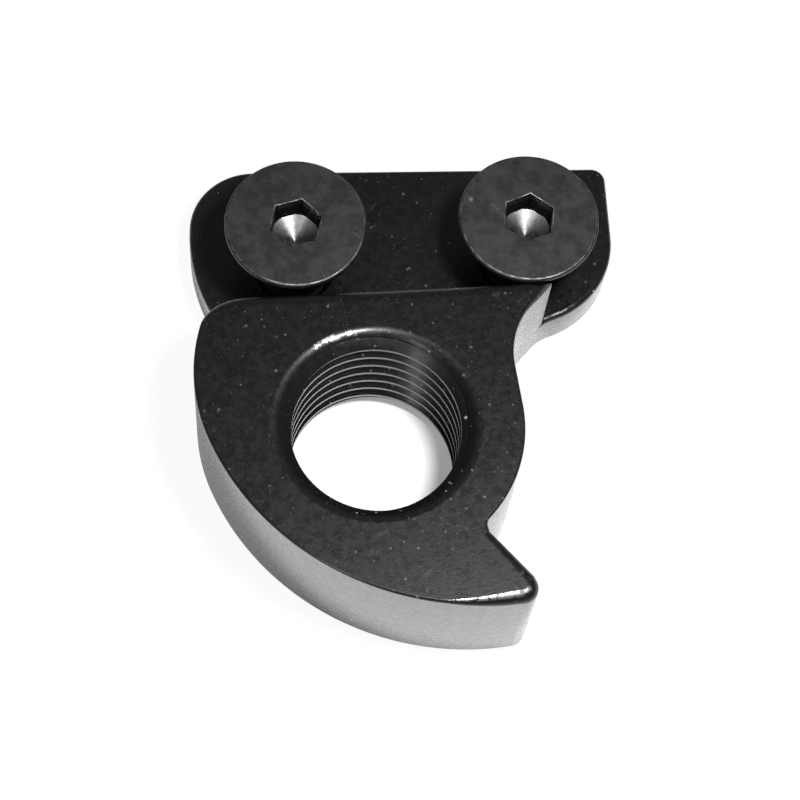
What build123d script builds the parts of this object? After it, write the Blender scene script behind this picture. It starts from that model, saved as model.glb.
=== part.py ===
from build123d import *
from math import acos, asin, atan2, cos, degrees, hypot, radians, sin, sqrt, tan
import os

# Derailleur hanger: a hooked plate with a threaded bore, milled from one piece of aluminium,
# and the two countersunk bolts that hold it to the frame. Millimetres.
# The bore's axis is Z, the back face lies on Z = 0, the bolt row runs along X.

# Plate
body_thickness = 8.0
flange_thickness = 2.7
body_edge_radius = 0.75
flange_edge_radius = 0.35
back_edge_break = 0.2

# Threaded bore for the derailleur's pivot bolt, M10 x 1, drawn at the thread's outer radius
bore_radius = 5.0
bore_chamfer = 0.45
boss_wall = 2.72

# Wall that the frame's tab seats against, and the bolt row that stands clear of it
step_y = 7.8
step_tilt = 1.4
step_corner_radius = 2.5
head_gap = 0.14
bolt_spacing = 12.62
right_bolt_inset = 1.12

# Flange outline, measured from the shoulder and the bolts; its roots lie hidden in the body
flange_top_margin = 6.14
flange_top_fall = 0.26
flange_left_overhang = 0.16
flange_right_margin = 5.38
flange_left_radius = 10.5
flange_left_crown = 2.0
flange_left_corner = 3.6
flange_right_corner = 0.8
flange_lobe_radius = 5.35
flange_lobe_rise = 1.5
flange_root = 2.0

# Neck between the bore's boss and the flange
neck_radius = 4.46
neck_drop = 4.23
neck_gap = 0.22
neck_slope = 47.0

# Hooked side: a shoulder arc that runs over into a longer sweep arc, and the stop at its tip
shoulder_x = 0.57
shoulder_y = 3.07
shoulder_radius = 10.0
sweep_radius = 14.9
sweep_join_angle = 201.3
stop_root_angle = -47.9
stop_face_angle = -49.7
stop_root_radius = 0.5
stop_tip_radius = 0.85

# Countersunk hexagon socket bolts, M4
bolt_radius = 2.0
bolt_tip_recess = 0.2
bolt_tip_chamfer = 0.4
thread_clearance = 0.03
tapped_hole_chamfer = 0.25
head_radius = 3.82
head_land = 0.28
socket_width = 2.5
socket_depth = 1.1
socket_drill_radius = 1.3
socket_drill_angle = 120.0
socket_turns = (14.7, 21.6)

os.makedirs("parts", exist_ok=True)


def polar(centre, radius, angle):
    """Point at an angle in degrees on a circle."""
    return (centre[0] + radius * cos(radians(angle)), centre[1] + radius * sin(radians(angle)))


def bearing(centre, point):
    """Angle in degrees from a circle's centre to a point, from 0 to 360."""
    return degrees(atan2(point[1] - centre[1], point[0] - centre[0])) % 360


def exit_point(start, angle, centre, radius):
    """Point where a line that leaves a start inside a circle, at an angle in degrees, crosses it."""
    reach = hypot(centre[0] - start[0], centre[1] - start[1])
    turn = radians(bearing(start, centre) - angle)
    return polar(start, reach * cos(turn) + sqrt(radius**2 - (reach * sin(turn)) ** 2), angle)


# The neck's circle stands clear of the boss by a small gap, and a line tangent to both joins them
bore_axis = (0, 0)
boss_radius = bore_radius + boss_wall
neck_y = step_y - neck_drop
neck_distance = boss_radius + neck_radius + neck_gap
neck_centre = (sqrt(neck_distance**2 - neck_y**2), neck_y)
neck_bearing = degrees(asin(neck_y / neck_distance))
waist_angle = neck_bearing - degrees(acos((boss_radius + neck_radius) / neck_distance))
waist_low = polar(bore_axis, boss_radius, waist_angle)
waist_high = polar(neck_centre, neck_radius, waist_angle + 180)
neck_end = polar(neck_centre, neck_radius, neck_slope + 90)

# The sweep arc touches the shoulder arc from inside, so both share the line through their centres
shoulder_centre = (shoulder_x, shoulder_y)
sweep_centre = polar(shoulder_centre, shoulder_radius - sweep_radius, sweep_join_angle)

# The stop's face leaves the boss at its root and meets the sweep arc at the tip
stop_root = polar(bore_axis, boss_radius, stop_root_angle)
stop_tip = exit_point(stop_root, stop_face_angle, sweep_centre, sweep_radius)
sweep_turn = sweep_join_angle - bearing(sweep_centre, stop_tip)

# The step's wall crosses the bore's Y axis at its named height, and runs on to the shoulder and the neck
step_middle = (0, step_y)
step_left = exit_point(step_middle, 180 + step_tilt, shoulder_centre, shoulder_radius)
shoulder_turn = bearing(shoulder_centre, step_left) - sweep_join_angle
neck_rise = tan(radians(neck_slope))
step_rise = tan(radians(step_tilt))
step_right_x = (step_y - neck_end[1] + neck_rise * neck_end[0]) / (neck_rise - step_rise)
step_right = (step_right_x, step_y + step_rise * step_right_x)

# Corners of the flange's outline
bolt_row_y = step_y + head_radius + head_gap
right_bolt_x = step_right_x - right_bolt_inset
left_bolt_x = right_bolt_x - bolt_spacing
bolt_places = [(left_bolt_x, bolt_row_y), (right_bolt_x, bolt_row_y)]
flange_top = bolt_row_y + flange_top_margin
flange_left = shoulder_x - shoulder_radius - flange_left_overhang
flange_right = right_bolt_x + flange_right_margin
flange_crown = (flange_left, bolt_row_y + flange_left_crown)
flange_left_centre = (flange_left + flange_left_radius, flange_crown[1])
corner_rise = flange_top - flange_crown[1]
flange_corner = (flange_left_centre[0] - sqrt(flange_left_radius**2 - corner_rise**2), flange_top)
flange_root_y = step_y - flange_root
root_drop = flange_crown[1] - flange_root_y
flange_left_root = (flange_left_centre[0] - sqrt(flange_left_radius**2 - root_drop**2), flange_root_y)
flange_top_right = (flange_right, flange_top - flange_top_fall)
lobe_centre = (flange_right - flange_lobe_radius, bolt_row_y + flange_lobe_rise)
lobe_side = polar(lobe_centre, flange_lobe_radius, 0)
lobe_foot = polar(lobe_centre, flange_lobe_radius, -90)

# Hanger: the flange first, then the full-height body, the rounded edges and the holes
with BuildPart() as hanger:
    with BuildSketch() as flange_profile:
        with BuildLine():
            Line(lobe_foot, flange_left_root)
            ThreePointArc(flange_left_root, flange_crown, flange_corner)
            Line(flange_corner, flange_top_right)
            Line(flange_top_right, lobe_side)
            CenterArc(lobe_centre, flange_lobe_radius, 0, -90)
        make_face()
        fillet(flange_profile.vertices().sort_by_distance(flange_corner)[0], flange_left_corner)
        fillet(flange_profile.vertices().sort_by_distance(flange_top_right)[0], flange_right_corner)
    extrude(amount=flange_thickness)
    fillet(hanger.faces().sort_by(Axis.Z)[-1].edges(), flange_edge_radius)
    with BuildSketch() as body_profile:
        with BuildLine():
            Line(step_left, step_right)
            Line(step_right, neck_end)
            CenterArc(neck_centre, neck_radius, neck_slope + 90, waist_angle + 90 - neck_slope)
            Line(waist_high, waist_low)
            CenterArc(bore_axis, boss_radius, waist_angle, stop_root_angle - waist_angle)
            Line(stop_root, stop_tip)
            CenterArc(sweep_centre, sweep_radius, sweep_join_angle - sweep_turn, sweep_turn)
            CenterArc(shoulder_centre, shoulder_radius, sweep_join_angle, shoulder_turn)
        make_face()
        fillet(body_profile.vertices().sort_by_distance(stop_root)[0], stop_root_radius)
        fillet(body_profile.vertices().sort_by_distance(stop_tip)[0], stop_tip_radius)
        fillet(body_profile.vertices().sort_by_distance(step_left)[0], step_corner_radius)
    extrude(amount=body_thickness)
    fillet(hanger.faces().sort_by(Axis.Z)[-1].outer_wire().edges(), body_edge_radius)
    chamfer(hanger.faces().sort_by(Axis.Z)[0].outer_wire().edges(), back_edge_break)
    with Locations((*bore_axis, body_thickness)):
        Hole(bore_radius)
    bore_middle = (*bore_axis, body_thickness / 2)
    bore_wall = hanger.faces().filter_by(GeomType.CYLINDER).sort_by_distance(bore_middle)[0]
    chamfer(bore_wall.edges().filter_by(GeomType.CIRCLE), bore_chamfer)
    with Locations(*[(x, y, flange_thickness) for x, y in bolt_places]):
        Hole(bolt_radius)
    for place in bolt_places:
        hole_middle = (*place, flange_thickness / 2)
        hole_wall = hanger.faces().filter_by(GeomType.CYLINDER).sort_by_distance(hole_middle)[0]
        chamfer(hole_wall.edges().filter_by(GeomType.CIRCLE), tapped_hole_chamfer)
hanger.part.label = "hanger"
export_step(hanger.part, "parts/hanger.step")

# Bolt section in the XZ plane, from its axis outwards, with the head's top at Z = 0
shank_radius = bolt_radius - thread_clearance
bolt_length = body_thickness - bolt_tip_recess
cone_foot = -head_land - (head_radius - shank_radius)
drill_height = socket_drill_radius / tan(radians(socket_drill_angle / 2))

with BuildPart() as bolt:
    with BuildSketch(Plane.XZ):
        with BuildLine():
            Polyline(
                (0, 0),
                (head_radius, 0),
                (head_radius, -head_land),
                (shank_radius, cone_foot),
                (shank_radius, bolt_tip_chamfer - bolt_length),
                (shank_radius - bolt_tip_chamfer, -bolt_length),
                (0, -bolt_length),
                close=True,
            )
        make_face()
    revolve(axis=Axis.Z)
    with BuildSketch(Plane.XY):
        RegularPolygon(socket_width / 2, 6, major_radius=False)
    extrude(amount=-socket_depth, mode=Mode.SUBTRACT)
    with Locations((0, 0, -socket_depth)):
        Cone(
            0,
            socket_drill_radius,
            drill_height,
            align=(Align.CENTER, Align.CENTER, Align.MAX),
            mode=Mode.SUBTRACT,
        )

# Both bolts stand in the flange, each left at its own angle when it was tightened
with BuildPart() as mounting_bolts:
    for place, turn in zip(bolt_places, socket_turns):
        with Locations(Location((*place, body_thickness), (0, 0, turn))):
            add(bolt.part)
mounting_bolts.part.label = "mounting_bolts"
export_step(mounting_bolts.part, "parts/mounting_bolts.step")
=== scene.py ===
from math import acos, asin, atan2, ceil, cos, degrees, hypot, pi, radians, sin, sqrt, tan

import bpy
from mathutils import Matrix, Vector


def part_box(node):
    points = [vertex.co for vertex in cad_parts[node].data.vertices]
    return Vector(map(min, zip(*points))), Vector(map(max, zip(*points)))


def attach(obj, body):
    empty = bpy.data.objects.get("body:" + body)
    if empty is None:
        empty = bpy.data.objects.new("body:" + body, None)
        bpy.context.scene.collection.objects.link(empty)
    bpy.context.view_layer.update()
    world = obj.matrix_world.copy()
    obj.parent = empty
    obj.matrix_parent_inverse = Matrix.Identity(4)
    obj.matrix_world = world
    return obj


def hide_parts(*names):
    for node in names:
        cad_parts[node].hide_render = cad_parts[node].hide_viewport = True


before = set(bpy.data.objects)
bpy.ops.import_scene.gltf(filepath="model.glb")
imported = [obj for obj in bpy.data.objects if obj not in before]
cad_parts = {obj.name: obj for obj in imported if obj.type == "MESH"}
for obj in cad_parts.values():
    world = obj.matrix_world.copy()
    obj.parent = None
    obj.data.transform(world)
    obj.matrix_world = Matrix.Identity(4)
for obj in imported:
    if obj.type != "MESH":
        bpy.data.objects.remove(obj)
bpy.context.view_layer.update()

# Hanger plate: a hooked body with a thin flange on its far side, milled from one piece of aluminium.
# Its outline is a chain of tangent arcs, its edges are rounded, and the flange holds two tapped holes.
# The bore is tapped M10 x 1 for the derailleur's bolt, and the whole plate is satin black anodised.
mm = 0.001
hanger_low, hanger_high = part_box("hanger")
body_thickness = hanger_high.z
body_edge_radius = 0.15 * mm
step_edge_radius = 0.8 * mm
nose_edge_radius = 0.6 * mm
tip_edge_radius = 0.65 * mm
back_edge_break = 0.35 * mm
back_allowance = 0.5 * mm
step_y = 7.8 * mm
step_tilt = 1.4
step_corner_radius = 2.5 * mm
boss_radius = 7.72 * mm
neck_radius = 4.46 * mm
neck_drop = 4.23 * mm
neck_gap = 0.22 * mm
neck_slope = 47.0
shoulder_centre = (0.57 * mm, 3.07 * mm)
shoulder_radius = 10.0 * mm
sweep_radius = 14.9 * mm
sweep_join_angle = 201.3
stop_root_angle = -47.9
stop_face_angle = -49.7
stop_root_radius = 0.5 * mm
stop_tip_radius = 0.85 * mm
bolt_row_y = 11.76 * mm
bolt_spacing = 12.62 * mm
right_bolt_inset = 1.12 * mm
arc_step = 1.5
weld_distance = 0.001 * mm


def polar(centre, radius, angle):
    """Point at an angle in degrees on a circle."""
    return (centre[0] + radius * cos(radians(angle)), centre[1] + radius * sin(radians(angle)))


def bearing(centre, point):
    """Angle in degrees from a circle's centre to a point, from 0 to 360."""
    return degrees(atan2(point[1] - centre[1], point[0] - centre[0])) % 360


def exit_point(start, angle, centre, radius):
    """Point where a line that leaves a start inside a circle, at an angle in degrees, crosses it."""
    reach = hypot(centre[0] - start[0], centre[1] - start[1])
    turn = radians(bearing(start, centre) - angle)
    return polar(start, reach * cos(turn) + sqrt(radius**2 - (reach * sin(turn)) ** 2), angle)


def first_point(name, place):
    """New piece whose mesh is a single vertex, left selected in edit mode."""
    bpy.ops.object.select_all(action="DESELECT")
    bpy.ops.mesh.primitive_plane_add(size=mm)
    piece = bpy.context.object
    piece.name = name
    bpy.ops.object.mode_set(mode="EDIT")
    bpy.ops.mesh.select_mode(type="VERT")
    bpy.ops.mesh.merge(type="CENTER")
    bpy.ops.transform.translate(value=place)
    return piece


def line_to(here, there):
    """Draws a straight edge from the selected vertex."""
    step = [b - a for a, b in zip(here, there)]
    bpy.ops.mesh.extrude_region_move(TRANSFORM_OT_translate={"value": step})


def face_outwards():
    """Turns every face of the open mesh outwards and leaves edit mode."""
    bpy.ops.mesh.select_all(action="SELECT")
    bpy.ops.mesh.normals_make_consistent(inside=False)
    bpy.ops.object.mode_set(mode="OBJECT")


def slab(name, start, stretches, bottom, top):
    """Plate with a drawn outline, left in edit mode with its top face selected.

    A stretch of the outline is the end of a line, or an arc's centre and its turn in degrees.
    """
    piece = first_point(name, (*start, bottom))
    here = start
    for stretch in stretches:
        if isinstance(stretch[0], tuple):
            centre, turn = stretch
            steps = ceil(abs(turn) / arc_step)
            bpy.ops.mesh.spin(
                steps=steps, angle=-radians(turn), center=(*centre, 0), axis=(0, 0, 1)
            )
            reach = hypot(here[0] - centre[0], here[1] - centre[1])
            here = polar(centre, reach, bearing(centre, here) + turn)
        else:
            line_to((*here, 0), (*stretch, 0))
            here = stretch
    bpy.ops.mesh.select_all(action="SELECT")
    bpy.ops.mesh.remove_doubles(threshold=weld_distance)
    bpy.ops.mesh.edge_face_add()
    bpy.ops.mesh.extrude_region_move(TRANSFORM_OT_translate={"value": (0, 0, top - bottom)})
    return piece


# Centres of the round stretches, each tangent to its neighbours
bore_axis = (0.0, 0.0)
neck_y = step_y - neck_drop
neck_distance = boss_radius + neck_radius + neck_gap
neck_centre = (sqrt(neck_distance**2 - neck_y**2), neck_y)
neck_bearing = degrees(asin(neck_y / neck_distance))
waist_angle = neck_bearing - degrees(acos((boss_radius + neck_radius) / neck_distance))
waist_high = polar(neck_centre, neck_radius, waist_angle + 180)
neck_end = polar(neck_centre, neck_radius, neck_slope + 90)
neck_rise = tan(radians(neck_slope))
step_rise = tan(radians(step_tilt))
step_right_x = (step_y - neck_end[1] + neck_rise * neck_end[0]) / (neck_rise - step_rise)
step_right = (step_right_x, step_y + step_rise * step_right_x)
right_bolt_x = step_right_x - right_bolt_inset
bolt_places = [(right_bolt_x - bolt_spacing, bolt_row_y), (right_bolt_x, bolt_row_y)]
corner_line = polar((0.0, step_y), step_corner_radius, step_tilt - 90)
corner_reach = shoulder_radius - step_corner_radius
corner_centre = exit_point(corner_line, step_tilt + 180, shoulder_centre, corner_reach)
corner_bearing = bearing(shoulder_centre, corner_centre)
sweep_centre = polar(shoulder_centre, shoulder_radius - sweep_radius, sweep_join_angle)
stop_root = polar(bore_axis, boss_radius, stop_root_angle)
tip_line = polar(stop_root, stop_tip_radius, stop_face_angle - 90)
tip_centre = exit_point(tip_line, stop_face_angle, sweep_centre, sweep_radius - stop_tip_radius)
tip_bearing = bearing(sweep_centre, tip_centre)
root_line = polar(stop_root, stop_root_radius, stop_face_angle + 90)
root_centre = exit_point(root_line, stop_face_angle, bore_axis, boss_radius + stop_root_radius)
root_bearing = bearing(bore_axis, root_centre)

# Extra points beside the nose let the top edge's rounding change over a short way
nose_reach = 1.5 * mm
nose_fade_end = 3.2 * mm
neck_point_gap, neck_point_count = 0.12 * mm, 4
step_point_gap, step_point_count = 0.5 * mm, 6
neck_points = [nose_reach + neck_point_gap * i for i in range(neck_point_count)]
step_points = [nose_reach + step_point_gap * i for i in range(step_point_count)]

hanger = slab(
    "hanger_plate",
    step_right,
    [
        *[polar(step_right, distance, step_tilt + 180) for distance in step_points],
        polar(corner_centre, step_corner_radius, step_tilt + 90),
        (corner_centre, corner_bearing - step_tilt - 90),
        (shoulder_centre, sweep_join_angle - corner_bearing),
        (sweep_centre, tip_bearing - sweep_join_angle),
        (tip_centre, stop_face_angle + 450 - tip_bearing),
        polar(root_centre, stop_root_radius, stop_face_angle - 90),
        (root_centre, root_bearing - 180 - (stop_face_angle + 270)),
        (bore_axis, waist_angle + 360 - root_bearing),
        waist_high,
        (neck_centre, neck_slope - waist_angle - 90),
        *[polar(step_right, distance, neck_slope + 180) for distance in reversed(neck_points)],
        step_right,
    ],
    -back_allowance,
    body_thickness,
)
face_outwards()

# The top edge is only broken round the neck and the shoulder. It is rounder along the step and
# at the nose, and more and more so along the sweep to the tip.
widest_edge_radius = max(step_edge_radius, tip_edge_radius)
top_edge_segments = 8
sweep_start_x = -8.6 * mm
sweep_full_x = 0.5 * mm
tip_fade_length = 3.0 * mm
corner_fade_drop = 1.5 * mm


def share(value, low, high):
    """How far a value has come from a low mark to a high one, from 0 to 1."""
    return min(max((value - low) / (high - low), 0), 1)


def top_edge_radius(place):
    """Radius of the top edge's rounding at a place on the outline."""
    below_step = step_y + step_rise * place.x - place.y
    from_nose = hypot(place.x - step_right[0], place.y - step_right[1])
    from_tip = hypot(place.x - tip_centre[0], place.y - tip_centre[1]) - stop_tip_radius
    from_sweep = sweep_radius - hypot(place.x - sweep_centre[0], place.y - sweep_centre[1])
    if from_nose < nose_reach:
        return nose_edge_radius
    if below_step < weld_distance:
        growth = share(from_nose, nose_reach, step_points[-1])
        return nose_edge_radius + growth * (step_edge_radius - nose_edge_radius)
    if place.x > 0 and place.y > 0:
        growth = 1 - share(from_nose, nose_reach, nose_fade_end)
        return body_edge_radius + growth * (nose_edge_radius - body_edge_radius)
    if place.y > 0:
        growth = 1 - share(below_step, 0, corner_fade_drop)
        return body_edge_radius + growth * (step_edge_radius - body_edge_radius)
    if from_sweep < weld_distance:
        growth = share(place.x, sweep_start_x, sweep_full_x)
    else:
        growth = 1 - share(from_tip, 0, tip_fade_length)
    return body_edge_radius + growth * (tip_edge_radius - body_edge_radius)


edge_weights = hanger.data.attributes.new("bevel_weight_edge", "FLOAT", "EDGE")
for edge in hanger.data.edges:
    ends = [hanger.data.vertices[i].co for i in edge.vertices]
    if all(end.z > body_thickness - weld_distance for end in ends):
        radius = top_edge_radius((ends[0] + ends[1]) / 2)
        edge_weights.data[edge.index].value = radius / widest_edge_radius
rounding = hanger.modifiers.new("top edge", "BEVEL")
rounding.limit_method = "WEIGHT"
rounding.width = widest_edge_radius
rounding.segments = top_edge_segments
rounding.use_clamp_overlap = False
bpy.ops.object.modifier_apply(modifier=rounding.name)


def make_active(piece):
    """Leaves one piece selected, for the next operator to work on."""
    bpy.ops.object.select_all(action="DESELECT")
    bpy.context.view_layer.objects.active = piece
    piece.select_set(True)


def combine(piece, other, operation):
    """Joins another solid to a piece, or cuts it out, and clears the other away."""
    make_active(piece)
    boolean = piece.modifiers.new(operation.lower(), "BOOLEAN")
    boolean.operation = operation
    boolean.solver = "EXACT"
    boolean.object = other
    bpy.ops.object.modifier_apply(modifier=boolean.name)
    bpy.data.objects.remove(other)


# The upright edge between the step's wall and the neck is rounded with a hollow-ended cutter
nose_round = 0.1 * mm
nose_cut_gap = 0.002 * mm
nose_clearance = 0.6 * mm
nose_half_angle = (neck_slope - step_tilt) / 2
nose_bearing = (neck_slope + step_tilt) / 2
nose_centre = polar(step_right, nose_round / sin(radians(nose_half_angle)), nose_bearing + 180)
nose_cut_radius = nose_round + nose_cut_gap
nose_cutter = slab(
    "nose_cutter",
    polar(nose_centre, nose_cut_radius, step_tilt + 90),
    [
        (nose_centre, neck_slope - step_tilt - 180),
        polar(nose_centre, nose_cut_radius + nose_clearance, neck_slope - 90),
        polar(step_right, nose_clearance, nose_bearing),
        polar(nose_centre, nose_cut_radius + nose_clearance, step_tilt + 90),
        polar(nose_centre, nose_cut_radius, step_tilt + 90),
    ],
    -2 * back_allowance,
    body_thickness + back_allowance,
)
face_outwards()
combine(hanger, nose_cutter, "DIFFERENCE")


def round_selected_edges(radius, segments):
    """Rounds the selected edges over, then turns every face outwards."""
    bpy.ops.mesh.bevel(
        offset=radius, offset_type="OFFSET", segments=segments, affect="EDGES", clamp_overlap=False
    )
    face_outwards()


# The flange's outline runs from the hollow by the neck round the lobe and the top to the shoulder
flange_thickness = 2.7 * mm
flange_edge_radius = 0.3 * mm
flange_left = hanger_low.x
flange_right = hanger_high.x
flange_top_margin = 6.14 * mm
flange_top_fall = 0.26 * mm
flange_left_radius = 10.5 * mm
flange_left_crown = 2.0 * mm
flange_left_corner = 3.6 * mm
flange_right_corner = 0.8 * mm
flange_lobe_radius = 5.35 * mm
flange_lobe_rise = 1.5 * mm
flange_blend_radius = 2.5 * mm
flange_root = 2.0 * mm
flange_top = bolt_row_y + flange_top_margin
flange_root_y = step_y - flange_root
flange_left_centre = (flange_left + flange_left_radius, bolt_row_y + flange_left_crown)
corner_rise = flange_top - flange_left_centre[1]
flange_corner_x = flange_left_centre[0] - sqrt(flange_left_radius**2 - corner_rise**2)
flange_corner = (flange_corner_x, flange_top)
root_drop = flange_left_centre[1] - flange_root_y
flange_left_root_x = flange_left_centre[0] - sqrt(flange_left_radius**2 - root_drop**2)
flange_left_root = (flange_left_root_x, flange_root_y)
flange_top_right = (flange_right, flange_top - flange_top_fall)
top_angle = bearing(flange_top_right, flange_corner)
right_corner_setback = flange_right_corner / tan(radians((270 - top_angle) / 2))
right_corner_y = flange_top_right[1] - right_corner_setback
right_corner_centre = (flange_right - flange_right_corner, right_corner_y)
left_corner_line = polar(flange_top_right, flange_left_corner, top_angle + 90)
left_corner_reach = flange_left_radius - flange_left_corner
left_corner_centre = exit_point(left_corner_line, top_angle, flange_left_centre, left_corner_reach)
left_corner_bearing = bearing(flange_left_centre, left_corner_centre)
lobe_centre = (flange_right - flange_lobe_radius, bolt_row_y + flange_lobe_rise)
blend_line = polar(step_right, flange_blend_radius, neck_slope - 90)
blend_reach = flange_lobe_radius + flange_blend_radius
blend_centre = exit_point(blend_line, neck_slope + 180, lobe_centre, blend_reach)
blend_start = polar(blend_centre, flange_blend_radius, neck_slope + 90)
blend_bearing = bearing(blend_centre, lobe_centre)
flange_right_root = (blend_start[0] - flange_blend_radius, blend_start[1])

flange = slab(
    "flange",
    flange_right_root,
    [
        blend_start,
        (blend_centre, blend_bearing - neck_slope - 90),
        (lobe_centre, 180 - blend_bearing),
        (flange_right, right_corner_y),
        (right_corner_centre, top_angle - 90),
        polar(left_corner_centre, flange_left_corner, top_angle - 90),
        (left_corner_centre, left_corner_bearing - top_angle + 90),
        (flange_left_centre, bearing(flange_left_centre, flange_left_root) - left_corner_bearing),
        flange_right_root,
    ],
    -2 * back_allowance,
    flange_thickness,
)
round_selected_edges(flange_edge_radius, segments=6)
combine(hanger, flange, "UNION")


def select_edges(piece, wanted):
    """Opens a piece in edit mode with only the edges selected whose ends and normals are wanted."""
    mesh = piece.data
    normals = {}
    for face in mesh.polygons:
        face.select = False
        for key in face.edge_keys:
            normals.setdefault(key, []).append(face.normal)
    for vertex in mesh.vertices:
        vertex.select = False
    for edge in mesh.edges:
        ends = [mesh.vertices[i].co for i in edge.vertices]
        edge.select = wanted(ends, normals.get(edge.key, []))
    make_active(piece)
    bpy.ops.object.mode_set(mode="EDIT")
    bpy.ops.mesh.select_mode(type="EDGE")


# The back is faced off in one cut through body and flange, and its edge is rounded. A face's tilt
# is its normal's height, near -1 on the back and near 0 on a wall.
back_tilt = -0.9
wall_tilt = -0.5
bpy.ops.object.mode_set(mode="EDIT")
bpy.ops.mesh.select_all(action="SELECT")
bpy.ops.mesh.bisect(plane_co=(0, 0, 0), plane_no=(0, 0, 1), use_fill=True, clear_inner=True)
bpy.ops.object.mode_set(mode="OBJECT")


def is_back_outline(ends, normals):
    """Edges between the back face and an upright wall."""
    on_back = all(abs(end.z) < weld_distance for end in ends)
    tilts = [normal.z for normal in normals]
    return on_back and min(tilts) < back_tilt and max(tilts) > wall_tilt


select_edges(hanger, is_back_outline)
round_selected_edges(back_edge_break, segments=4)


def chain(name, points):
    """New piece whose mesh is an open chain of straight edges, left selected in edit mode."""
    piece = first_point(name, points[0])
    for here, there in zip(points, points[1:]):
        line_to(here, there)
    bpy.ops.mesh.select_all(action="SELECT")
    return piece


def lathe(name, profile, steps):
    """Turned solid about Z from its side's section, a list of (radius, height), with flat ends."""
    piece = chain(name, [(radius, 0, height) for radius, height in profile])
    bpy.ops.mesh.spin(steps=steps, angle=2 * pi, center=(0, 0, 0), axis=(0, 0, 1))
    bpy.ops.mesh.select_all(action="SELECT")
    bpy.ops.mesh.remove_doubles(threshold=weld_distance)
    bpy.ops.mesh.fill_holes(sides=steps)
    face_outwards()
    return piece


def move_mesh(piece, offset, turn=0):
    """Turns a piece about its own Z axis, moves it, and leaves its place in its mesh."""
    piece.rotation_euler.z = radians(turn)
    piece.location = offset
    make_active(piece)
    bpy.ops.object.transform_apply(location=True, rotation=True, scale=True)


# Tapped holes for the bolts, chamfered at both ends
cutter_overrun = 0.5 * mm
hole_radius = 2.0 * mm
hole_chamfer = 0.25 * mm
for place in bolt_places:
    hole_cutter = lathe(
        "hole_cutter",
        [
            (hole_radius + hole_chamfer + cutter_overrun, -cutter_overrun),
            (hole_radius, hole_chamfer),
            (hole_radius, flange_thickness - hole_chamfer),
            (hole_radius + hole_chamfer + cutter_overrun, flange_thickness + cutter_overrun),
        ],
        steps=96,
    )
    move_mesh(hole_cutter, (*place, 0))
    combine(hanger, hole_cutter, "DIFFERENCE")

# Bore: drilled to the thread's inner radius, chamfered at both ends, then the groove is cut
thread_pitch = 1.0 * mm
bore_inner_radius = 4.459 * mm
bore_outer_radius = 5.0 * mm
bore_rim_radius = 5.28 * mm
bore_rim_round = 0.28 * mm
rim_tolerance = 0.02 * mm
chamfer_depth = 0.7 * mm
chamfer_spread = (bore_rim_radius - bore_inner_radius) / chamfer_depth
mouth_radius = bore_rim_radius + cutter_overrun * chamfer_spread
bore_cutter = lathe(
    "bore_cutter",
    [
        (mouth_radius, -cutter_overrun),
        (bore_inner_radius, chamfer_depth),
        (bore_inner_radius, body_thickness - chamfer_depth),
        (mouth_radius, body_thickness + cutter_overrun),
    ],
    steps=240,
)
combine(hanger, bore_cutter, "DIFFERENCE")


def is_bore_rim(ends, normals):
    """Edges between the bore's chamfers and the plate's two faces."""
    on_face = all(min(abs(end.z), abs(end.z - body_thickness)) < weld_distance for end in ends)
    return on_face and all(abs(end.xy.length - bore_rim_radius) < rim_tolerance for end in ends)


select_edges(hanger, is_bore_rim)
round_selected_edges(bore_rim_round, segments=6)


def thread_cutter(name, section, pitch, turns, bottom, steps):
    """Right-hand helical ridge to cut a thread's groove with.

    Its section is a list of (radius, half width) from the groove's mouth to its root.
    """
    points = [(radius, 0, bottom - half_width) for radius, half_width in section]
    points += [(radius, 0, bottom + half_width) for radius, half_width in reversed(section)]
    piece = chain(name, points)
    bpy.ops.mesh.edge_face_add()
    bpy.ops.mesh.delete(type="ONLY_FACE")
    bpy.ops.object.mode_set(mode="OBJECT")
    screw = piece.modifiers.new("helix", "SCREW")
    screw.axis = "Z"
    screw.screw_offset = pitch
    screw.iterations = turns
    screw.steps = steps
    screw.render_steps = steps
    bpy.ops.object.modifier_apply(modifier=screw.name)
    bpy.ops.object.mode_set(mode="EDIT")
    bpy.ops.mesh.select_all(action="SELECT")
    bpy.ops.mesh.fill_holes(sides=len(points))
    face_outwards()
    return piece


flank_angle = 30
flank_slope = tan(radians(flank_angle))
groove_root = thread_pitch / 16
groove_mouth = thread_pitch * 3 / 8
groove_overlap = 0.06 * mm
crest_break = 0.05 * mm
groove_cutter = thread_cutter(
    "groove_cutter",
    [
        (bore_inner_radius - groove_overlap, groove_mouth + 2 * crest_break),
        (bore_inner_radius, groove_mouth + crest_break / 2),
        (bore_inner_radius + crest_break, groove_mouth - crest_break * flank_slope),
        (bore_outer_radius, groove_root),
    ],
    thread_pitch,
    turns=11,
    bottom=-1.5 * mm,
    steps=160,
)
combine(hanger, groove_cutter, "DIFFERENCE")


def smooth_shade(piece, sharp_angle):
    """Shades rounded edges smooth while flat faces stay flat right up to them."""
    make_active(piece)
    bpy.ops.object.shade_smooth_by_angle(angle=radians(sharp_angle))
    weighted = piece.modifiers.new("flat faces stay flat", "WEIGHTED_NORMAL")
    weighted.keep_sharp = True
    weighted.weight = 100
    bpy.ops.object.modifier_apply(modifier=weighted.name)


crease_angle = 28
smooth_shade(hanger, crease_angle)


def add_node(tree, kind, place, **settings):
    """New node of a kind, with its own properties set."""
    node = tree.nodes.new(kind)
    node.location = place
    for name, value in settings.items():
        setattr(node, name, value)
    return node


def feed(tree, socket, value):
    """Links another node's socket to an input, or sets the input to a plain value."""
    if isinstance(value, bpy.types.NodeSocket):
        tree.links.new(value, socket)
    else:
        socket.default_value = value


def feed_inputs(tree, node, values):
    """Feeds a node's inputs by their labels, and gives the node."""
    for label, value in values.items():
        feed(tree, node.inputs[label], value)
    return node


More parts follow.
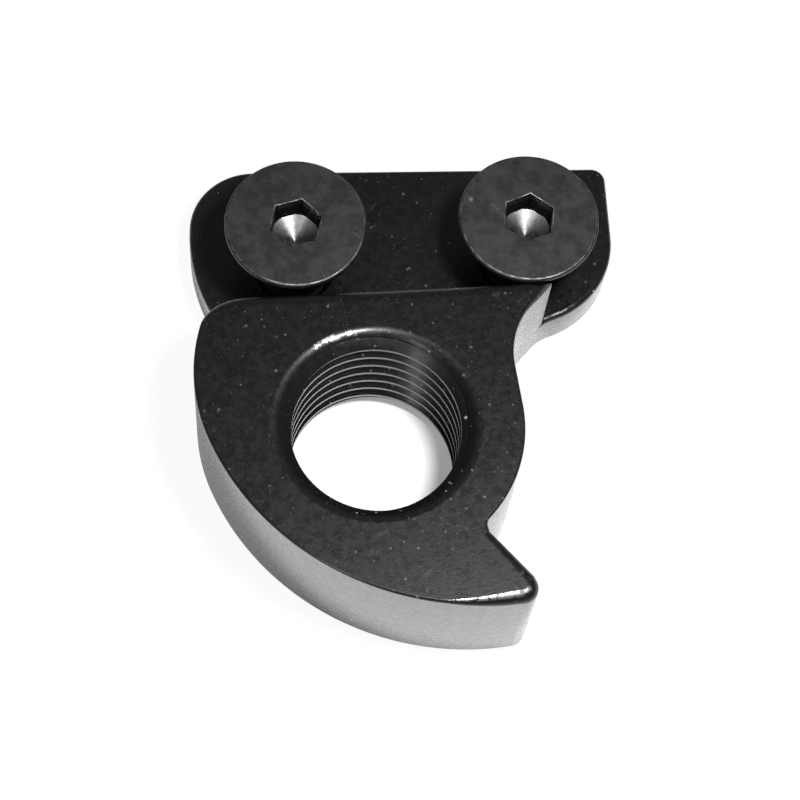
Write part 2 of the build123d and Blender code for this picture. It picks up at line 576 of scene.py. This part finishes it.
def new_group(name, inputs, outputs):
    """Shader node group with plain number sockets, and the sockets at its two ends."""
    group = bpy.data.node_groups.new(name, "ShaderNodeTree")
    for label, value in inputs.items():
        socket = group.interface.new_socket(label, in_out="INPUT", socket_type="NodeSocketFloat")
        socket.default_value = value
    for label in outputs:
        group.interface.new_socket(label, in_out="OUTPUT", socket_type="NodeSocketFloat")
    group_in = add_node(group, "NodeGroupInput", (-1100, 0))
    group_out = add_node(group, "NodeGroupOutput", (700, 0))
    return group, group_in.outputs, group_out.inputs


def add_noise(tree, place, values):
    """Noise texture with its own values."""
    return feed_inputs(tree, add_node(tree, "ShaderNodeTexNoise", place), values)


# Grain of a blasted surface: fine bumps, and broader patches where the finish took differently
grain_group, grain_in, grain_out = new_group(
    "blasted_grain", {"Scale": 4000.0, "Patch Scale": 600.0}, ["Height", "Patches"]
)
grain_place = add_node(grain_group, "ShaderNodeTexCoord", (-900, 200)).outputs["Object"]
for output, scale, detail, roughness, place in (
    ("Height", "Scale", 3.0, 0.62, (-400, 200)),
    ("Patches", "Patch Scale", 4.0, 0.6, (-400, -150)),
):
    noise = add_noise(
        grain_group,
        place,
        {
            "Vector": grain_place,
            "Scale": grain_in[scale],
            "Detail": detail,
            "Roughness": roughness,
        },
    )
    grain_group.links.new(noise.outputs["Fac"], grain_out[output])


def calculate(tree, operation, place, *operands, vector=False):
    """Math on sockets and plain values, or on vectors, and gives the result's socket."""
    kind = "ShaderNodeVectorMath" if vector else "ShaderNodeMath"
    node = add_node(tree, kind, place, operation=operation)
    for socket, operand in zip(node.inputs, operands):
        feed(tree, socket, operand)
    is_number = not vector or operation in ("DISTANCE", "LENGTH")
    return node.outputs["Value" if is_number else "Vector"]


def remap(tree, source, place, span, result):
    """Maps one range of a value smoothly onto another, and gives the result's socket."""
    node = add_node(tree, "ShaderNodeMapRange", place, interpolation_type="SMOOTHSTEP")
    labels = ("Value", "From Min", "From Max", "To Min", "To Max")
    feed_inputs(tree, node, dict(zip(labels, (source, *span, *result))))
    return node.outputs["Result"]


# Stray specks: a few cells of a scatter hold a grain of dust or a bare point, each of its own size
speck_group, speck_in, speck_out = new_group(
    "stray_specks", {"Scale": 1000.0, "Share": 0.2, "Size": 0.2}, ["Mask"]
)
ragged_scale = 6000.0
ragged_reach = (0.12 * mm, 0.12 * mm, 0.12 * mm)
speck_place = add_node(speck_group, "ShaderNodeTexCoord", (-1100, 300)).outputs["Object"]
ragged = add_noise(speck_group, (-900, 500), {"Vector": speck_place, "Scale": ragged_scale})
speck_shift = calculate(
    speck_group,
    "MULTIPLY_ADD",
    (-700, 400),
    ragged.outputs["Color"],
    ragged_reach,
    speck_place,
    vector=True,
)
speck_cells = add_node(speck_group, "ShaderNodeTexVoronoi", (-500, 300))
feed_inputs(speck_group, speck_cells, {"Vector": speck_shift, "Scale": speck_in["Scale"]})
chance = add_node(speck_group, "ShaderNodeSeparateColor", (-300, 100))
feed(speck_group, chance.inputs["Color"], speck_cells.outputs["Color"])
red, green, blue = (chance.outputs[label] for label in ("Red", "Green", "Blue"))
speck_limit = calculate(speck_group, "SUBTRACT", (-300, -100), 1.0, speck_in["Share"])
speck_kept = calculate(speck_group, "GREATER_THAN", (-100, 0), red, speck_limit)
speck_size = calculate(speck_group, "MULTIPLY", (-100, -200), green, speck_in["Size"])
speck_strength = calculate(speck_group, "MULTIPLY", (150, -100), speck_kept, blue)
speck_distance = speck_cells.outputs["Distance"]
speck_disc = remap(speck_group, speck_distance, (150, 200), (0.0, speck_size), (1.0, 0.0))
speck_mask = calculate(speck_group, "MULTIPLY", (400, 100), speck_disc, speck_strength)
speck_group.links.new(speck_mask, speck_out["Mask"])

# Handling scratches: thin bent lines from a stretched noise, left only in some patches
scratch_group, scratch_in, scratch_out = new_group(
    "handling_scratches", {"Scale": 500.0, "Turn": 0.5}, ["Mask"]
)
scratch_stretch = (1.0, 0.12, 1.0)
scratch_patch_scale = 900.0
noise_middle = 0.5
scratch_place = add_node(scratch_group, "ShaderNodeTexCoord", (-1100, 300)).outputs["Object"]
turned = add_node(scratch_group, "ShaderNodeVectorRotate", (-900, 300), rotation_type="Z_AXIS")
feed_inputs(scratch_group, turned, {"Vector": scratch_place, "Angle": scratch_in["Turn"]})
stretched = calculate(
    scratch_group,
    "MULTIPLY",
    (-700, 300),
    turned.outputs["Vector"],
    scratch_stretch,
    vector=True,
)
scratch_lines = add_noise(
    scratch_group,
    (-500, 300),
    {"Vector": stretched, "Scale": scratch_in["Scale"], "Detail": 2.0, "Distortion": 0.4},
)
scratch_patches = add_noise(
    scratch_group, (-500, -100), {"Vector": scratch_place, "Scale": scratch_patch_scale}
)
line_offset = calculate(
    scratch_group, "SUBTRACT", (-300, 300), scratch_lines.outputs["Fac"], noise_middle
)
line_distance = calculate(scratch_group, "ABSOLUTE", (-100, 300), line_offset)
scratch_thin = remap(scratch_group, line_distance, (100, 300), (0.0, 0.008), (1.0, 0.0))
scratch_kept = remap(
    scratch_group, scratch_patches.outputs["Fac"], (100, -100), (0.58, 0.66), (0.0, 1.0)
)
scratch_mask = calculate(scratch_group, "MULTIPLY", (400, 100), scratch_thin, scratch_kept)
scratch_group.links.new(scratch_mask, scratch_out["Mask"])

# Edge wear: on the upper part of rounded edges, and there only where a noise is high
wear_group, wear_in, wear_out = new_group(
    "edge_wear", {"Scale": 2500.0, "Low": 0.5, "High": 0.7}, ["Mask"]
)
wear_place = add_node(wear_group, "ShaderNodeTexCoord", (-1100, 300))
wear_facing = add_node(wear_group, "ShaderNodeSeparateXYZ", (-900, 100))
feed(wear_group, wear_facing.inputs["Vector"], wear_place.outputs["Normal"])
wear_flatness = calculate(wear_group, "ABSOLUTE", (-700, 100), wear_facing.outputs["Z"])
wear_noise = add_noise(
    wear_group,
    (-700, 400),
    {"Vector": wear_place.outputs["Object"], "Scale": wear_in["Scale"], "Detail": 3.0},
)
wear_limits = (wear_in["Low"], wear_in["High"])
wear_spots = remap(wear_group, wear_noise.outputs["Fac"], (-300, 400), wear_limits, (0.0, 1.0))
band_start = remap(wear_group, wear_flatness, (-300, 100), (0.8, 0.92), (0.0, 1.0))
band_end = remap(wear_group, wear_flatness, (-300, -200), (0.994, 0.9995), (1.0, 0.0))
wear_band = calculate(wear_group, "MULTIPLY", (0, 0), band_start, band_end)
wear_mask = calculate(wear_group, "MULTIPLY", (300, 200), wear_spots, wear_band)
wear_group.links.new(wear_mask, wear_out["Mask"])


def new_material(name):
    """Material with nodes, its node tree and its main shader."""
    material = bpy.data.materials.new(name)
    material.use_nodes = True
    return material, material.node_tree, material.node_tree.nodes["Principled BSDF"]


def place_group(tree, group, place, values):
    """Puts a group in a material, with its own values."""
    return feed_inputs(tree, add_node(tree, "ShaderNodeGroup", place, node_tree=group), values)


def blend_colour(tree, mask, below, above, place):
    """Lays a colour over another where a mask is high, and gives the result's socket.

    The mix node's colours are its inputs 6 and 7 and its output 2.
    """
    node = add_node(tree, "ShaderNodeMix", place, data_type="RGBA")
    feed_inputs(tree, node, {"Factor": mask, 6: below, 7: above})
    return node.outputs[2]


def add_bump(tree, height, distance):
    """Bump from a height, and gives the bent normal's socket."""
    node = add_node(tree, "ShaderNodeBump", (-450, -300))
    feed_inputs(tree, node, {"Height": height, "Distance": distance})
    return node.outputs["Normal"]


# The walls came off a finishing cutter and stay glossy, while the faces are blasted to a satin
anodise_black = (0.003, 0.003, 0.0032, 1)
scratch_grey = (0.02, 0.02, 0.02, 1)
pore_grey = (0.06, 0.06, 0.06, 1)
dust_white = (0.4, 0.4, 0.395, 1)
bare_aluminium = (0.17, 0.17, 0.168, 1)
blast_depth = 0.0065 * mm
anodised, tree, shader = new_material("satin_black_anodise")
grain = place_group(tree, grain_group, (-1200, -300), {"Scale": 6500.0, "Patch Scale": 2800.0})
specks = place_group(
    tree, speck_group, (-1200, 300), {"Scale": 1900.0, "Share": 1.0, "Size": 0.24}
)
pores = place_group(tree, speck_group, (-1200, 150), {"Scale": 4200.0, "Share": 0.6, "Size": 0.34})
scratches = place_group(tree, scratch_group, (-1200, 0), {"Scale": 500.0, "Turn": 0.7})
scratched = blend_colour(
    tree, scratches.outputs["Mask"], anodise_black, scratch_grey, (-700, 200)
)
porous = blend_colour(tree, pores.outputs["Mask"], scratched, pore_grey, (-600, 350))
speckled = blend_colour(tree, specks.outputs["Mask"], porous, dust_white, (-450, 250))
satin = remap(tree, grain.outputs["Patches"], (-450, 0), (0.3, 0.7), (0.29, 0.45))

# Bare metal shows on the edges that rub: at the hook's tip, on the bore's far rim and at the lobe
# by the neck. Each spot has its centre and how far the wear reaches from it.
rubbed_spots = (
    ((5.2 * mm, -11.5 * mm, 7.9 * mm), 4.2 * mm),
    ((-2.0 * mm, 4.9 * mm, 9.7 * mm), 2.8 * mm),
    ((10.7 * mm, 8.5 * mm, 4.0 * mm), 2.3 * mm),
)
surface = add_node(tree, "ShaderNodeTexCoord", (-2100, -600))
on_plate = surface.outputs["Object"]
spot_shares = []
for spot, reach in rubbed_spots:
    from_spot = calculate(tree, "DISTANCE", (-1900, 600), on_plate, spot, vector=True)
    spot_shares.append(calculate(tree, "DIVIDE", (-1700, 600), from_spot, reach))
rub_distance = spot_shares[0]
for spot_share in spot_shares[1:]:
    rub_distance = calculate(tree, "MINIMUM", (-1550, 600), rub_distance, spot_share)
wear = place_group(
    tree,
    wear_group,
    (-1200, 600),
    {
        "Scale": 3200.0,
        "Low": remap(tree, rub_distance, (-1400, 700), (0.5, 1.0), (0.36, 0.7)),
        "High": remap(tree, rub_distance, (-1400, 500), (0.5, 1.0), (0.47, 0.8)),
    },
)
worn = blend_colour(tree, wear.outputs["Mask"], speckled, bare_aluminium, (-250, 300))

# The gloss is full on the walls and fades a little towards the top, is thin on the rounded edges
# and all but gone on the faces. The tap left one side of the bore duller than the other.
bore_dull_span = (-1.0 * mm, 4.5 * mm)
bore_reach = (5.0 * mm, 5.5 * mm)
facing = add_node(tree, "ShaderNodeSeparateXYZ", (-1000, -600))
feed(tree, facing.inputs["Vector"], surface.outputs["Normal"])
flatness = calculate(tree, "ABSOLUTE", (-800, -600), facing.outputs["Z"])
level = add_node(tree, "ShaderNodeSeparateXYZ", (-1000, -800))
feed(tree, level.inputs["Vector"], on_plate)
from_axis = calculate(tree, "MULTIPLY", (-1000, -1000), on_plate, (1, 1, 0), vector=True)
axis_distance = calculate(tree, "LENGTH", (-800, -1000), from_axis, vector=True)
wall_gloss = remap(tree, flatness, (-450, -600), (0.05, 0.4), (1.0, 0.15))
height_gloss = remap(tree, level.outputs["Z"], (-450, -800), (0.0, body_thickness), (1.0, 0.78))
bore_gloss = remap(tree, level.outputs["X"], (-650, -1200), bore_dull_span, (1.0, 0.15))
axis_gloss = remap(tree, axis_distance, (-450, -1000), bore_reach, (bore_gloss, 1.0))
face_gloss = remap(tree, flatness, (-250, -900), (0.95, 0.995), (1.0, 0.2))
gloss = calculate(tree, "MULTIPLY", (-250, -600), wall_gloss, height_gloss)
gloss = calculate(tree, "MULTIPLY", (-100, -600), gloss, axis_gloss)
gloss = calculate(tree, "MULTIPLY", (50, -600), gloss, face_gloss)
feed_inputs(
    tree,
    shader,
    {
        "Base Color": worn,
        "Metallic": wear.outputs["Mask"],
        "Roughness": satin,
        "IOR": 1.35,
        "Coat Weight": gloss,
        "Coat Roughness": 0.2,
        "Coat IOR": 2.42,
        "Normal": add_bump(tree, grain.outputs["Height"], blast_depth),
    },
)
hanger.data.materials.clear()
hanger.data.materials.append(anodised)
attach(hanger, "root")
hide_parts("hanger")

# Mounting bolts: two countersunk M4 socket screws that stand in the flange's tapped holes.
# They are cold-headed steel with rolled threads and a broached hexagon socket over a drill point.
# Black oxide leaves them dark grey and a little shinier than the plate, with rubbed edges.
head_radius = 3.82 * mm
head_land = 0.28 * mm
head_rim_round = 0.16 * mm
shank_radius = 1.97 * mm
shank_pitch = 0.7 * mm
bolt_tip_recess = 0.2 * mm
bolt_tip_chamfer = 0.4 * mm
bolt_length = body_thickness - bolt_tip_recess
socket_width = 2.5 * mm
socket_depth = 1.5 * mm
socket_edge_break = 0.1 * mm
socket_turns = (14.7, 21.6)
hexagon_turn = 30
drill_radius = 1.3 * mm
drill_flat = 0.06 * mm
drill_half_angle = 60
drill_height = drill_radius / tan(radians(drill_half_angle))

bolt = lathe(
    "bolt_left",
    [
        (shank_radius - bolt_tip_chamfer, -bolt_length),
        (shank_radius, bolt_tip_chamfer - bolt_length),
        (shank_radius, -head_land - (head_radius - shank_radius)),
        (head_radius, -head_land),
        (head_radius, 0),
    ],
    steps=192,
)
socket_reach = socket_width / sqrt(3)
bpy.ops.object.select_all(action="DESELECT")
bpy.ops.mesh.primitive_cylinder_add(
    vertices=6,
    radius=socket_reach,
    depth=2 * socket_depth,
    rotation=(0, 0, radians(hexagon_turn)),
)
socket_cutter = bpy.context.object
combine(bolt, socket_cutter, "DIFFERENCE")
drill_flat_z = -socket_depth - drill_height * (1 - drill_flat / drill_radius)
drill_cutter = lathe(
    "drill_cutter", [(drill_flat, drill_flat_z), (drill_radius, -socket_depth)], steps=96
)
combine(bolt, drill_cutter, "DIFFERENCE")
socket_search_radius = 1.1 * socket_reach
socket_wall_tilt = 0.5


def is_head_rim(ends, normals):
    """Edges round the head's flat top."""
    least_radius = head_radius - head_land
    return all(abs(end.z) < weld_distance and end.xy.length > least_radius for end in ends)


def is_socket_rim(ends, normals):
    """Edges of the hexagon at the head's flat top."""
    at_top = all(abs(end.z) < weld_distance for end in ends)
    in_socket = all(end.xy.length < socket_search_radius for end in ends)
    return at_top and in_socket and min(normal.z for normal in normals) < socket_wall_tilt


select_edges(bolt, is_head_rim)
round_selected_edges(head_rim_round, segments=4)
select_edges(bolt, is_socket_rim)
round_selected_edges(socket_edge_break, segments=2)
shank_groove_depth = 0.6134 * shank_pitch
shank_groove_root = shank_pitch / 8
shank_groove_overlap = 0.05 * mm
shank_groove_rise = (shank_groove_depth + shank_groove_overlap) * flank_slope
shank_thread_lead = 0.4 * mm
shank_thread = thread_cutter(
    "shank_thread_cutter",
    [
        (shank_radius + shank_groove_overlap, shank_groove_root + shank_groove_rise),
        (shank_radius - shank_groove_depth, shank_groove_root),
    ],
    shank_pitch,
    turns=9,
    bottom=-bolt_length - shank_thread_lead,
    steps=64,
)
combine(bolt, shank_thread, "DIFFERENCE")
smooth_shade(bolt, crease_angle)

oxide_dark = (0.056, 0.056, 0.058, 1)
oxide_light = (0.067, 0.067, 0.069, 1)
rubbed_grey = (0.1, 0.1, 0.1, 1)
speck_grey = (0.3, 0.3, 0.295, 1)
bare_steel = (0.2, 0.2, 0.197, 1)
# Near black for the cone underside and the shank: painted shade under the head
under_head_painted_shade = (0.012, 0.012, 0.012, 1)
oxide_depth = 0.008 * mm
under_head_shade_span = (body_thickness - 2.2 * head_land, body_thickness - head_land)
oxide, tree, shader = new_material("black_oxide_steel")
grain = place_group(tree, grain_group, (-1200, -300), {"Scale": 3000.0, "Patch Scale": 1300.0})
specks = place_group(
    tree, speck_group, (-1200, 300), {"Scale": 1000.0, "Share": 0.5, "Size": 0.22}
)
scratches = place_group(tree, scratch_group, (-1200, 0), {"Scale": 420.0, "Turn": -0.6})
wear = place_group(tree, wear_group, (-1200, 600), {"Scale": 2000.0, "Low": 0.38, "High": 0.68})
stain = remap(tree, grain.outputs["Patches"], (-950, 150), (0.36, 0.64), (0.0, 1.0))
stained = blend_colour(tree, stain, oxide_dark, oxide_light, (-850, 300))
rubbed = blend_colour(tree, scratches.outputs["Mask"], stained, rubbed_grey, (-700, 200))
speckled = blend_colour(tree, specks.outputs["Mask"], rubbed, speck_grey, (-450, 250))
worn = blend_colour(tree, wear.outputs["Mask"], speckled, bare_steel, (-250, 300))

# Only the head is rubbed. Below its land, the cone underside and the shank are darkened to near black
# in the colour: painted shade under the head
surface = add_node(tree, "ShaderNodeTexCoord", (-1200, -600))
level = add_node(tree, "ShaderNodeSeparateXYZ", (-1000, -600))
feed(tree, level.inputs["Vector"], surface.outputs["Object"])
under_head_shade = remap(tree, level.outputs["Z"], (-700, -600), under_head_shade_span, (1.0, 0.0))
feed_inputs(
    tree,
    shader,
    {
        "Base Color": blend_colour(tree, under_head_shade, worn, under_head_painted_shade, (-50, 300)),
        "Metallic": 1.0,
        "Roughness": remap(
            tree, grain.outputs["Patches"], (-450, 0), (0.3, 0.7), (0.44, 0.56)
        ),
        "Normal": add_bump(tree, grain.outputs["Height"], oxide_depth),
    },
)
bolt.data.materials.clear()
bolt.data.materials.append(oxide)

# The drill point in the socket is bare and shiny, so its cone has a finish of its own
drill_dull = (0.18, 0.18, 0.18, 1)
drill_bright = (0.4, 0.4, 0.395, 1)
cone_tilt = 0.3
bright, tree, shader = new_material("bare_drill_point")
grain = place_group(tree, grain_group, (-900, -100), {"Scale": 3500.0, "Patch Scale": 2500.0})
feed_inputs(
    tree,
    shader,
    {
        "Base Color": blend_colour(
            tree, grain.outputs["Patches"], drill_dull, drill_bright, (-450, 200)
        ),
        "Metallic": 1.0,
        "Roughness": remap(
            tree, grain.outputs["Height"], (-450, -100), (0.3, 0.7), (0.28, 0.36)
        ),
    },
)
bolt.data.materials.append(bright)
for face in bolt.data.polygons:
    is_deep = -socket_depth - drill_height < face.center.z < -socket_depth
    is_inside = face.center.xy.length < drill_radius
    face.material_index = 1 if is_deep and is_inside and face.normal.z > cone_tilt else 0
second_bolt = bolt.copy()
second_bolt.data = bolt.data.copy()
second_bolt.name = "bolt_right"
bpy.context.collection.objects.link(second_bolt)
for piece, place, turn in zip((bolt, second_bolt), bolt_places, socket_turns):
    move_mesh(piece, (*place, body_thickness), turn)
    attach(piece, "root")
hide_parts("mounting_bolts")
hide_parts("mounting_bolts")

# Ground: a plain white sheet that the plate lies on, a little over-lit, so it looks white up to
# the plate. Only the part seen through the bore keeps its full shadow.
sheet_size = 1.2
sheet_white = (0.93, 0.93, 0.93, 1)
mirror_white = 0.12
bore_edge_span = (6.0 * mm, 7.0 * mm)
far_span = (18 * mm, 32 * mm)


def mix_shaders(tree, place, mask, below, above, output):
    """Mixes two shaders by a mask, and gives the result to an output node."""
    node = add_node(tree, "ShaderNodeMixShader", place)
    for socket, source in zip(node.inputs, (mask, below, above)):
        tree.links.new(source, socket)
    tree.links.new(node.outputs["Shader"], tree.nodes[output].inputs["Surface"])


bpy.ops.object.select_all(action="DESELECT")
bpy.ops.mesh.primitive_plane_add(size=sheet_size)
ground = bpy.context.object
ground.name = "ground"
paper, tree, shader = new_material("white_sheet")
feed_inputs(
    tree, shader, {"Base Color": sheet_white, "Roughness": 1.0, "Specular IOR Level": 0.0}
)
plain_white = add_node(tree, "ShaderNodeEmission", (0, -300))
on_sheet = add_node(tree, "ShaderNodeTexCoord", (-1100, 300)).outputs["Object"]
sheet_radius = calculate(tree, "LENGTH", (-900, 300), on_sheet, vector=True)
near_white = remap(tree, sheet_radius, (-700, 400), bore_edge_span, (0.25, 0.93))
far_white = remap(tree, sheet_radius, (-700, 150), far_span, (0.0, 0.1))
white_share = calculate(tree, "ADD", (-450, 300), near_white, far_white)
ray = add_node(tree, "ShaderNodeLightPath", (-700, -200)).outputs
seen_white = calculate(tree, "MULTIPLY", (-250, 200), white_share, ray["Is Camera Ray"])
mirrored = calculate(
    tree, "ADD", (-450, -200), ray["Is Glossy Ray"], ray["Is Transmission Ray"]
)
white_part = calculate(tree, "MULTIPLY_ADD", (-50, 100), mirrored, mirror_white, seen_white)
mix_shaders(
    tree,
    (200, 0),
    white_part,
    shader.outputs["BSDF"],
    plain_white.outputs["Emission"],
    "Material Output",
)
ground.data.materials.append(paper)

# Light: one small round lamp above the near right side and a dim upright panel at the front left,
# in a dim room that is a little lighter above.
lamp_place = (16 * mm, -10 * mm, 83 * mm)
lamp_power = 0.083
panel_place = (-125 * mm, -155 * mm, 150 * mm)
panel_power = 0.14
room_white = (1, 1, 1, 1)


def add_lamp(name, shape, size, power, place):
    """Area lamp that the camera doesn't see, facing straight down."""
    lamp = bpy.data.lights.new(name, "AREA")
    lamp.shape = shape
    lamp.size = size
    lamp.energy = power
    lamp_object = bpy.data.objects.new(name, lamp)
    bpy.context.collection.objects.link(lamp_object)
    lamp_object.location = place
    lamp_object.visible_camera = False
    return lamp_object


add_lamp("key_lamp", "DISK", 12 * mm, lamp_power, lamp_place)
panel = add_lamp("side_panel", "RECTANGLE", 40 * mm, panel_power, panel_place)
panel.data.size_y = 160 * mm
panel.rotation_euler = panel.location.to_track_quat("Z", "Y").to_euler()
world = bpy.data.worlds.new("room")
world.use_nodes = True
tree = world.node_tree
room = tree.nodes["Background"]
direction = add_node(tree, "ShaderNodeTexCoord", (-900, 0))
height = add_node(tree, "ShaderNodeSeparateXYZ", (-700, 0))
feed(tree, height.inputs["Vector"], direction.outputs["Generated"])
room_glow = remap(tree, height.outputs["Z"], (-500, 0), (0.0, 0.8), (0.15, 0.23))
feed_inputs(tree, room, {"Color": room_white, "Strength": room_glow})
backdrop = add_node(tree, "ShaderNodeBackground", (-200, -200))
feed(tree, backdrop.inputs["Color"], room_white)
ray = add_node(tree, "ShaderNodeLightPath", (-500, 300)).outputs
mix_shaders(
    tree,
    (100, 0),
    ray["Is Camera Ray"],
    room.outputs["Background"],
    backdrop.outputs["Background"],
    "World Output",
)
bpy.context.scene.world = world

# Camera: above the near edge, looking down on the plate. Its place, turn and focal length were
# fitted to the bore's rim, the heads and the plate's edges.
yaw, pitch, roll = radians(10.519), radians(66.431), radians(7.999)
camera_place = (-7.411 * mm, -45.396 * mm, 116.70 * mm)
focal_length_px = 2280
picture_width_px = 800
forward = Vector((sin(yaw) * cos(pitch), cos(yaw) * cos(pitch), -sin(pitch)))
right = Vector((cos(yaw), -sin(yaw), 0))
up = right.cross(forward)
view = Matrix((right * cos(roll) + up * sin(roll), up * cos(roll) - right * sin(roll), -forward))
camera = bpy.data.cameras.new("camera")
camera.sensor_width = 36
camera.lens = camera.sensor_width * focal_length_px / picture_width_px
camera.clip_start = 0.01
camera_object = bpy.data.objects.new("camera", camera)
bpy.context.collection.objects.link(camera_object)
camera_object.matrix_world = Matrix.Translation(camera_place) @ view.transposed().to_4x4()
bpy.context.scene.camera = camera_object
bpy.context.scene.view_settings.view_transform = "Standard"
